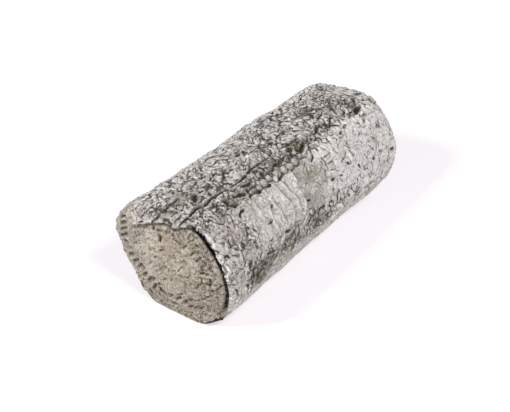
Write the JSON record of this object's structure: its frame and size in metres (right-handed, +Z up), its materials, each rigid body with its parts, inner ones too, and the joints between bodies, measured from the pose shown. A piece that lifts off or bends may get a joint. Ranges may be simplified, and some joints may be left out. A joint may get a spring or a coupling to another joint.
{
  "type": "goat cheese log",
  "caption": "Small ash-coated goat cheese log lying on its side, with a wrinkled grey rind and one bare cheese end.",
  "frame": {"origin": "on the flat strip the log rests on, under the middle of its outline", "axes": "+X runs along the log from its bare cheese end to its rounded far end, +Z is up"},
  "size_m": [0.124, 0.0541, 0.0449],
  "materials": {
    "ash_rind": "dry, wrinkled, ash-grey mould rind with pale bloom, and a tan, grainy cheese end"
  },
  "bodies": {
    "root": {"cheese_log": "ash_rind"}
  },
  "joints": []
}
